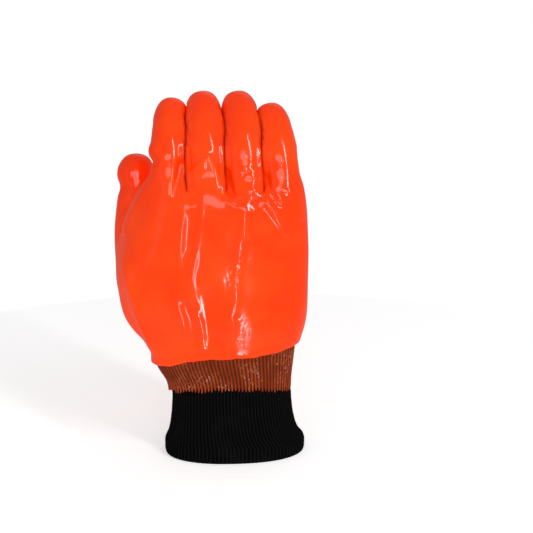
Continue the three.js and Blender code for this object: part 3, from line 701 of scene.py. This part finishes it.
def tube_ring(width, depth, shift, columns, turn=0.0):
    """A level section of the tubes: an ellipse, a little squared, spaced evenly from its leftmost point and
    turned about its middle."""
    angle = math.pi + np.linspace(0, 2 * math.pi, 1440, endpoint=False)
    c, s = np.cos(angle), np.sin(angle)
    x = np.sign(c) * np.abs(c) ** TUBE_SQUARE * width / 2
    y = np.sign(s) * np.abs(s) ** TUBE_SQUARE * depth / 2
    x, y, z = evenly(np.stack([x, y, 0 * x], axis=1), columns).T
    c, s = math.cos(math.radians(turn)), math.sin(math.radians(turn))
    return np.stack([shift + c * x - s * y, s * x + c * y, z], axis=1)


def band_edge(x):
    """Height of the band's lower edge: level in the middle and lower at both sides."""
    return CUFF_HEIGHT - BAND_DIP * ((x - NECK_SHIFT) / (NECK[0] / 2)) ** 2


def ring_normals(ring):
    """Level directions out of a closed ring."""
    around = np.roll(ring, -1, axis=0) - np.roll(ring, 1, axis=0)
    return unit(np.cross(around, np.array([0.0, 0.0, 1.0])))


def tube_faces(rows, columns):
    """Faces of a closed tube wall made of rows of points, the last row joined to the first."""
    index = np.arange(rows * columns).reshape(rows, columns)
    upper = np.roll(index, -1, axis=0)
    faces = np.stack([index, np.roll(index, -1, axis=1), np.roll(upper, -1, axis=1), upper], axis=-1)
    return faces.reshape(-1, 4)


def rib_wave(around, sharp):
    """Height of the ribs round a tube: 1 on the crests and 0 in the grooves."""
    return (0.5 + 0.5 * np.cos(around * 2 * math.pi)) ** sharp


def band_piece(material):
    """The soaked band: rings lofted from the neck of the cuff to the mouth of the coat, ribbed, with a
    toothed lower edge where the dip ran down each rib a different way."""
    columns = BAND_COLUMNS
    rng = np.random.default_rng(7)
    neck = tube_ring(NECK[0] + BAND_LIP, NECK[1], NECK_SHIFT - BAND_LIP / 2, columns)
    mouth = coat_ring(0.0, COAT_WALL + BAND_GAP, columns)
    tucked = coat_ring(0.5, COAT_WALL + BAND_GAP, columns)
    around = np.arange(columns) / columns * RIB_COUNT
    ribs = rib_wave(around, 0.9)
    rib_of = np.round(around).astype(int) % RIB_COUNT
    length = rng.uniform(0.8, 2.4, RIB_COUNT) + 0.5 * np.sin(np.arange(RIB_COUNT) * 0.9)
    notch = rng.uniform(0.5, 1.7, RIB_COUNT + 1)
    tooth = length[rib_of] * ribs ** 1.6 - notch[around.astype(int)] * (1 - ribs) ** 1.5
    edge = band_edge(neck[:, 0])
    shares = [*np.linspace(0, 0.22, 8), *np.linspace(0.3, 1.0, 22), 1.1]
    rows = []
    for up in shares[:-1]:
        out = np.interp(up, (0.0, 0.27, 0.62, 1.0), (0.0, 0.16, 0.6, 1.0))
        out = 0.5 * out + 0.5 * smooth(up) if up > 0.1 else out * 0.6
        ring = neck * (1 - out) + mouth * out
        low = edge - tooth * (1 - smooth(up / 0.3))
        ring[:, 2] = low * (1 - up) + mouth[:, 2] * up
        rows.append(ring)
    rows.append(tucked)
    outside, inside = [], []
    for ring, up in zip(rows, shares):
        normal = ring_normals(ring)
        swell = 0.25 * np.sin(around * 0.7 + up * 5) + 0.15 * np.sin(around * 2.3 - up * 9)
        fade = 1.0 if up < 0.8 else 1 - 0.5 * smooth((up - 0.8) / 0.2)
        outside.append(ring - normal * (RIB_HEIGHT * fade * (1 - ribs) + 0.15 - 0.12 * swell)[:, None])
        inside.append(ring - normal * (RIB_HEIGHT + 0.35 + smooth((up - 0.02) / 0.2)))
    points = np.vstack(outside + inside[::-1])
    piece = mesh_piece("soaked_knit_band", points, [tube_faces(2 * len(rows), columns)], material)
    set_uv(piece, around, shares + shares[::-1])
    return piece


# The cuff's outline from rim to band: share of the height, share of the flare, then millimetres added.
CUFF_OUTLINE = np.array([
    (0.0, 0.80, 0.0), (0.0, 0.93, 0.7), (0.0, 0.99, 2.4), (0.0, 1.00, 5.0), (0.2, 1.0, 0.0),
    (0.3, 0.57, 0.0), (0.42, 0.32, 0.0), (0.6, 0.12, 0.0), (0.8, 0.02, 0.0), (1.0, 0.0, 0.0),
])
# Heights of the rings at the rim and down the inside, and the rise and depth of those that turn in on top.
CUFF_FOOT = (0.0, 0.25, 0.8, 1.6, 2.6, 3.8)
CUFF_INSIDE = (42.0, 34.0, 27.0, 21.0, 16.0, 11.0, 6.0, 3.0, 1.2, 0.3)
CUFF_TOP = ((2.5, 1.2), (4.0, 2.3), (6.8, 2.6), (7.0, 3.4), (6.4, 4.1), (-2.0, 4.2))


def cuff_ring(level, out):
    """A ring of the cuff's outline at a height and a share of the flare, bent with the band's edge."""
    wide, deep = (neck + (rim - neck) * out for neck, rim in zip(NECK, CUFF_RIM))
    ring = tube_ring(wide, deep, NECK_SHIFT * (1 - out), CUFF_COLUMNS, RIM_TURN * out)
    ring[:, 2] = level + (band_edge(ring[:, 0]) - CUFF_HEIGHT) * (level / CUFF_HEIGHT)
    return ring


def cuff_piece(material):
    """The knitted cuff: a flared tube of ribs, each rib two columns of slanted stitches, with a round fold
    at the rim and its top tucked under the soaked band."""
    columns = CUFF_COLUMNS
    around = np.arange(columns) / columns * RIB_COUNT
    ribs = rib_wave(around, 0.75)
    height = CUFF_OUTLINE[:, 0] * CUFF_HEIGHT + CUFF_OUTLINE[:, 2]
    levels = np.concatenate([CUFF_FOOT, np.linspace(5.2, CUFF_HEIGHT, 80)])
    flare = np.interp(levels, height, CUFF_OUTLINE[:, 1])
    kernel = np.array([1, 2, 3, 2, 1]) / 9.0
    softened = np.convolve(np.pad(flare, 2, mode="edge"), kernel, mode="valid")
    flare[len(CUFF_FOOT):] = softened[len(CUFF_FOOT):]
    outside, inside = [], []
    slant = np.abs((around % 1) - 0.5)
    for level, out in zip(levels, flare):
        ring = cuff_ring(level, out)
        normal = ring_normals(ring)
        stitch = np.cos(2 * math.pi * (ring[:, 2] / STITCH_RISE + slant * STITCH_SLANT)) * ribs
        sag = 0.5 * np.sin(around * 0.55 + level / 19) * smooth((level - 4) / 20)
        near_foot = smooth(level / 4.0)
        under = 0.55 * smooth((level - CUFF_HEIGHT + 6) / 5)
        depth = (RIB_HEIGHT * (0.35 + 0.65 * near_foot) * (1 - ribs) - 0.16 * stitch * near_foot
                 + under - 0.35 * sag + 0.1)
        outside.append(ring - normal * depth[:, None])
    top = tube_ring(*NECK, NECK_SHIFT, columns)
    top[:, 2] = band_edge(top[:, 0])
    normal = ring_normals(top)
    for lift, depth in CUFF_TOP:
        outside.append(top - normal * (depth + 0.2 * (1 - ribs))[:, None] + (0, 0, lift))
    for level in CUFF_INSIDE:
        out = np.interp(level, levels, flare)
        wall = 2.7 + 0.9 * out if level > 2 else 3.1 - (2 - level) * 0.5
        ring = cuff_ring(level, out)
        inside.append(ring - ring_normals(ring) * (wall + 0.3 * (1 - ribs))[:, None])
    points = np.vstack(outside + inside)
    piece = mesh_piece("rib_knit_cuff", points, [tube_faces(len(outside) + len(inside), columns)], material)
    set_uv(piece, around, [*levels, *(CUFF_HEIGHT + lift for lift, _ in CUFF_TOP), *CUFF_INSIDE])
    return piece


class Nodes:
    """Short ways to build a node tree."""

    def __init__(self, tree):
        self.tree = tree

    def add(self, kind, inputs=None, **settings):
        """A new node with its settings, and values or links for its inputs."""
        node = self.tree.nodes.new(kind)
        for key, value in settings.items():
            setattr(node, key, value)
        for key, value in (inputs or {}).items():
            self.feed(node.inputs[key], value)
        return node

    def feed(self, socket, value):
        """Links an output to a socket, or sets the socket to a value."""
        if isinstance(value, bpy.types.NodeSocket):
            self.tree.links.new(value, socket)
        else:
            socket.default_value = value

    def math(self, operation, a, b=0.0):
        """One step of arithmetic."""
        node = self.add("ShaderNodeMath", operation=operation)
        for socket, value in zip(node.inputs, (a, b)):
            self.feed(socket, value)
        return node.outputs[0]

    def spread(self, value, low, high, to_low=0.0, to_high=1.0):
        """A value that runs smoothly from one pair of limits to another."""
        limits = {"Value": value, "From Min": low, "From Max": high, "To Min": to_low, "To Max": to_high}
        return self.add("ShaderNodeMapRange", limits, interpolation_type="SMOOTHSTEP").outputs["Result"]

    def mix(self, share, a, b):
        """A colour between two others. The numbers are the sockets for colours."""
        return self.add("ShaderNodeMix", {0: share, 6: a, 7: b}, data_type="RGBA").outputs[2]

    def noise(self, vector, scale, detail=3.0, roughness=0.55):
        """Cloudy noise from about 0 to 1."""
        inputs = {"Vector": vector, "Scale": scale, "Detail": detail, "Roughness": roughness}
        return self.add("ShaderNodeTexNoise", inputs).outputs["Fac"]

    def relief(self, shader, height, strength, distance):
        """Small relief on a shader, from a height."""
        node = self.add("ShaderNodeBump", {"Height": height, "Strength": strength, "Distance": distance})
        self.feed(shader.inputs["Normal"], node.outputs[0])

    def ribs(self, group):
        """The group of the ribs on the piece's own UV map: ribs counted round, height up and crest."""
        uv = self.add("ShaderNodeUVMap", uv_map="ribs").outputs[0]
        node = self.add("ShaderNodeGroup", {"Place": uv}, node_tree=group)
        return [node.outputs[name] for name in ("Around", "Level", "Crest")]


def rib_group():
    """The ribs that both knits show, as a node group: the parts of the UV place, and the cosine of the turns
    round the piece, 1 on a crest and -1 in a groove."""
    tree = bpy.data.node_groups.new("knit_ribs", "ShaderNodeTree")
    tree.interface.new_socket("Place", in_out="INPUT", socket_type="NodeSocketVector")
    for name in ("Around", "Level", "Crest"):
        tree.interface.new_socket(name, in_out="OUTPUT", socket_type="NodeSocketFloat")
    n = Nodes(tree)
    around, level, _ = n.add("ShaderNodeSeparateXYZ", {0: n.add("NodeGroupInput").outputs["Place"]}).outputs
    crest = n.math("COSINE", n.math("MULTIPLY", around, 2 * math.pi))
    n.add("NodeGroupOutput", {"Around": around, "Level": level, "Crest": crest})
    return tree


def new_material(name):
    """An empty material with a Principled shader, and the helper for its nodes."""
    material = bpy.data.materials.new(name)
    material.use_nodes = True
    tree = material.node_tree
    tree.nodes.clear()
    nodes = Nodes(tree)
    shader = nodes.add("ShaderNodeBsdfPrincipled")
    output = nodes.add("ShaderNodeOutputMaterial", {"Surface": shader.outputs[0]})
    output.is_active_output = True
    return material, nodes, shader


def pvc_material():
    """Glossy fluorescent PVC: orange with a faint painted glow that stands in for its fluorescence, a little
    deeper in slow clouds, with the fine skin of a dipped coat. Painted shade darkens it and takes the glow
    away where the crease shade values say that two fingers meet."""
    material, n, shader = new_material("fluorescent_pvc")
    place = n.add("ShaderNodeTexCoord").outputs["Object"]
    cloud = n.noise(place, 24.0, 4.0, 0.6)
    speck = n.noise(place, 900.0, 2.0, 0.5)
    colour = n.mix(n.spread(cloud, 0.35, 0.7), (0.88, 0.042, 0.001, 1), (0.96, 0.066, 0.002, 1))
    colour = n.mix(n.spread(speck, 0.68, 0.8, 0.0, 0.25), colour, (0.70, 0.022, 0.002, 1))
    # Painted shade where two fingers meet: darker base colour and no glow there.
    crease_shade = n.add("ShaderNodeAttribute", attribute_name="crease_shade").outputs["Fac"]
    painted_shade = n.math("MULTIPLY", crease_shade, 0.8)
    n.feed(shader.inputs["Base Color"], n.mix(painted_shade, colour, (0.34, 0.004, 0.001, 1)))
    # Painted glow: the coat gives off light everywhere, standing in for fluorescence, which lifts its
    # shadows.
    n.feed(shader.inputs["Emission Color"], n.mix(painted_shade, (1.0, 0.03, 0.0, 1), (0.0, 0.0, 0.0, 1)))
    shader.inputs["Emission Strength"].default_value = 0.26
    n.feed(shader.inputs["Roughness"], n.spread(cloud, 0.3, 0.75, 0.07, 0.13))
    shader.inputs["IOR"].default_value = 1.50
    skin = n.noise(place, 210.0, 3.0, 0.5)
    grain = n.noise(place, 1100.0, 2.0, 0.5)
    height = n.math("ADD", skin, n.math("MULTIPLY", grain, 0.12))
    n.relief(shader, height, 0.10, 0.0006)
    return material


def band_material(group):
    """Ribbed knit soaked with the first dip: orange brown on the crests, with painted shade darkening the
    grooves, with pale flecks that are painted glints, and glossy on crests where the dip lies thick."""
    material, n, shader = new_material("soaked_rib_knit")
    place = n.add("ShaderNodeTexCoord").outputs["Object"]
    _, _, crest = n.ribs(group)
    drawn_out = n.add("ShaderNodeMapping", {"Vector": place, "Scale": (1, 1, 0.18)}).outputs[0]
    streak = n.noise(drawn_out, 420.0)
    wet = n.noise(place, 70.0, 2.0)
    crest = n.math("ADD", crest, n.math("MULTIPLY", n.math("SUBTRACT", streak, 0.5), 1.4))
    brown = n.mix(n.spread(wet, 0.35, 0.7), (0.27, 0.026, 0.002, 1), (0.40, 0.046, 0.004, 1))
    # Painted shade: the grooves between the ribs are darker than the crests.
    colour = n.mix(n.spread(crest, -0.7, 0.5), (0.095, 0.020, 0.003, 1), brown)
    # Painted glints: pale flecks in the base colour, where the noise says the dip is wet.
    painted_glint = n.spread(n.noise(place, 700.0, 2.0, 0.6), 0.60, 0.66)
    painted_glint = n.math("MULTIPLY", n.math("MULTIPLY", painted_glint, n.spread(wet, 0.46, 0.6)), 0.6)
    n.feed(shader.inputs["Base Color"], n.mix(painted_glint, colour, (0.62, 0.40, 0.33, 1)))
    n.feed(shader.inputs["Roughness"], n.spread(streak, 0.4, 0.7, 0.28, 0.6))
    shader.inputs["Specular IOR Level"].default_value = 0.12
    glint = n.spread(n.noise(place, 330.0, 2.0, 0.6), 0.53, 0.60)
    n.feed(shader.inputs["Coat Weight"], n.math("MULTIPLY", glint, n.spread(crest, 0.0, 0.9)))
    shader.inputs["Coat Roughness"].default_value = 0.12
    loops = n.noise(place, 1300.0, 2.0, 0.6)
    height = n.math("ADD", n.math("MULTIPLY", loops, 0.5), n.math("MULTIPLY", streak, 0.5))
    n.relief(shader, height, 0.45, 0.0008)
    return material


def knit_material(group):
    """Black rib knit: matt yarn, lighter on the crests with painted shade in the grooves, with lighter worn
    patches, slanted stitches and stray fibres.
    """
    material, n, shader = new_material("black_rib_knit")
    place = n.add("ShaderNodeTexCoord").outputs["Object"]
    around, level, crest = n.ribs(group)
    slant = n.math("ABSOLUTE", n.math("SUBTRACT", n.math("FRACT", around), 0.5))
    risen = n.math("MULTIPLY", level, 1 / STITCH_RISE)
    turns = n.math("ADD", risen, n.math("MULTIPLY", slant, STITCH_SLANT))
    stitch = n.math("COSINE", n.math("MULTIPLY", turns, 2 * math.pi))
    fibre = n.noise(place, 1500.0, 3.0, 0.65)
    worn = n.noise(place, 60.0, 3.0)
    # Painted shade: the grooves between the ribs are darker than the crests; the fibres vary the tone at
    # random.
    tone = n.math("ADD", n.math("MULTIPLY", crest, 0.5), n.math("MULTIPLY", fibre, 0.8))
    colour = n.mix(n.spread(tone, 0.0, 1.2), (0.0006, 0.0005, 0.0007, 1), (0.0055, 0.0048, 0.0058, 1))
    colour = n.mix(n.spread(worn, 0.5, 0.75, 0.0, 0.35), colour, (0.0065, 0.006, 0.007, 1))
    n.feed(shader.inputs["Base Color"], colour)
    n.feed(shader.inputs["Roughness"], n.spread(fibre, 0.3, 0.7, 0.75, 0.95))
    shader.inputs["Specular IOR Level"].default_value = 0.09
    height = n.math("ADD", n.math("MULTIPLY", stitch, 0.35), n.math("MULTIPLY", fibre, 0.8))
    n.relief(shader, height, 0.6, 0.0006)
    return material


# The photograph's width in pixels, metres to a pixel at the cuff, and the pixel where the cuff stands.
PICTURE = 533
PIXEL = 0.000722
FOOT_PIXEL = (234.0, 465.0)
CAMERA_AWAY = 1.25
CAMERA_RAISED = math.radians(15.0)
SENSOR = 36.0


def set_camera():
    """The photograph's camera: level with the horizon, raised fifteen degrees, square on to the back of the
    hand, with the glove left of the middle of the picture."""
    back = Vector((0, -math.cos(CAMERA_RAISED), math.sin(CAMERA_RAISED)))
    up = Vector((0, math.sin(CAMERA_RAISED), math.cos(CAMERA_RAISED)))
    foot = Vector((SHIFT[0] * MM, (SHIFT[1] - 34.0) * MM, 0))
    across, down = FOOT_PIXEL
    centre = foot + Vector((1, 0, 0)) * (PICTURE / 2 - across) * PIXEL + up * (down - PICTURE / 2) * PIXEL
    data = bpy.data.cameras.new("camera")
    data.sensor_width = SENSOR
    data.lens = SENSOR * CAMERA_AWAY / (PICTURE * PIXEL)
    data.clip_end = 20.0
    camera = placed("camera", data)
    camera.location = centre + back * CAMERA_AWAY
    camera.rotation_mode = "QUATERNION"
    camera.rotation_quaternion = (-back).to_track_quat("-Z", "Y")
    bpy.context.scene.camera = camera


# Each light: name, place and size in metres, and watts. All of them look at one place in the glove.
LIGHTS = (
    ("front_box", (0.0, -1.5, 0.78), (1.3, 0.45), 3.4),
    ("right_strip", (0.80, -0.98, 1.05), (0.10, 1.5), 7.0),
    ("key_box", (0.20, -1.22, 0.72), (0.045, 0.12), 0.16),
    ("low_strip", (0.17, -1.28, 0.03), (0.036, 0.84), 2.2),
    ("left_box", (-1.0, -0.7, 0.5), (0.4, 0.9), 0.15),
    ("back_box", (0.2, 1.2, 1.1), (1.0, 0.8), 0.5),
)
LIGHT_AIM = (0.017, -0.02, 0.15)
# Strength of the white world for the camera, for mirrored rays and for all other light.
WORLD_SEEN, WORLD_MIRRORED, WORLD_SOFT = 1.0, 0.20, 0.42
FLOOR_MIDDLE = (0.017, -0.01)
FLOOR_RADIUS = 0.42
FLOOR_CORNERS = 96


def area_light(name, place, size, power):
    """A soft oval light that looks at the glove."""
    data = bpy.data.lights.new(name, "AREA")
    data.shape = "ELLIPSE"
    data.size, data.size_y = size
    data.energy = power
    light = placed(name, data)
    light.location = place
    light.rotation_euler = (Vector(LIGHT_AIM) - light.location).to_track_quat("-Z", "Y").to_euler()


def set_studio():
    """A white studio, bright to the camera and dim all round, with its lights and a round pale floor that
    glossy things mirror as grey."""
    scene = bpy.context.scene
    scene.view_settings.view_transform = "Standard"
    world = bpy.data.worlds.new("studio")
    world.use_nodes = True
    background = world.node_tree.nodes["Background"]
    background.inputs["Color"].default_value = (1.0, 1.0, 1.0, 1)
    n = Nodes(world.node_tree)
    path = n.add("ShaderNodeLightPath")
    strength = WORLD_SOFT
    for ray, value in (("Is Glossy Ray", WORLD_MIRRORED), ("Is Camera Ray", WORLD_SEEN)):
        limits = {"Value": path.outputs[ray], "To Min": strength, "To Max": value}
        strength = n.add("ShaderNodeMapRange", limits).outputs["Result"]
    n.feed(background.inputs["Strength"], strength)
    scene.world = world
    for light in LIGHTS:
        area_light(*light)
    angle = np.linspace(0, 2 * math.pi, FLOOR_CORNERS, endpoint=False)
    x, y = (middle + FLOOR_RADIUS * turn(angle) for middle, turn in zip(FLOOR_MIDDLE, (np.cos, np.sin)))
    mesh = bpy.data.meshes.new("floor")
    mesh.from_pydata(np.stack([x, y, 0 * angle], axis=1).tolist(), [], [list(range(FLOOR_CORNERS))])
    floor = placed("floor", mesh)
    material, n, shader = new_material("pale_floor")
    mirrored = n.add("ShaderNodeLightPath").outputs["Is Glossy Ray"]
    n.feed(shader.inputs["Base Color"], n.mix(mirrored, (0.93, 0.93, 0.93, 1), (0.42, 0.42, 0.42, 1)))
    n.feed(shader.inputs["Emission Color"], n.mix(mirrored, (1.0, 1.0, 1.0, 1), (0.0, 0.0, 0.0, 1)))
    shader.inputs["Emission Strength"].default_value = 0.45
    shader.inputs["Roughness"].default_value = 0.9
    shader.inputs["Specular IOR Level"].default_value = 0.1
    mesh.materials.append(material)


set_camera()
coat = coat_piece(pvc_material())
knit_ribs = rib_group()
band = band_piece(band_material(knit_ribs))
cuff = cuff_piece(knit_material(knit_ribs))
for piece, node, slot in ((coat, "coated_hand", "pvc_coat"), (band, "soaked_band", "soaked_knit"),
                          (cuff, "knit_cuff", "black_knit")):
    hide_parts(node)
    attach(piece, "root")
set_studio()
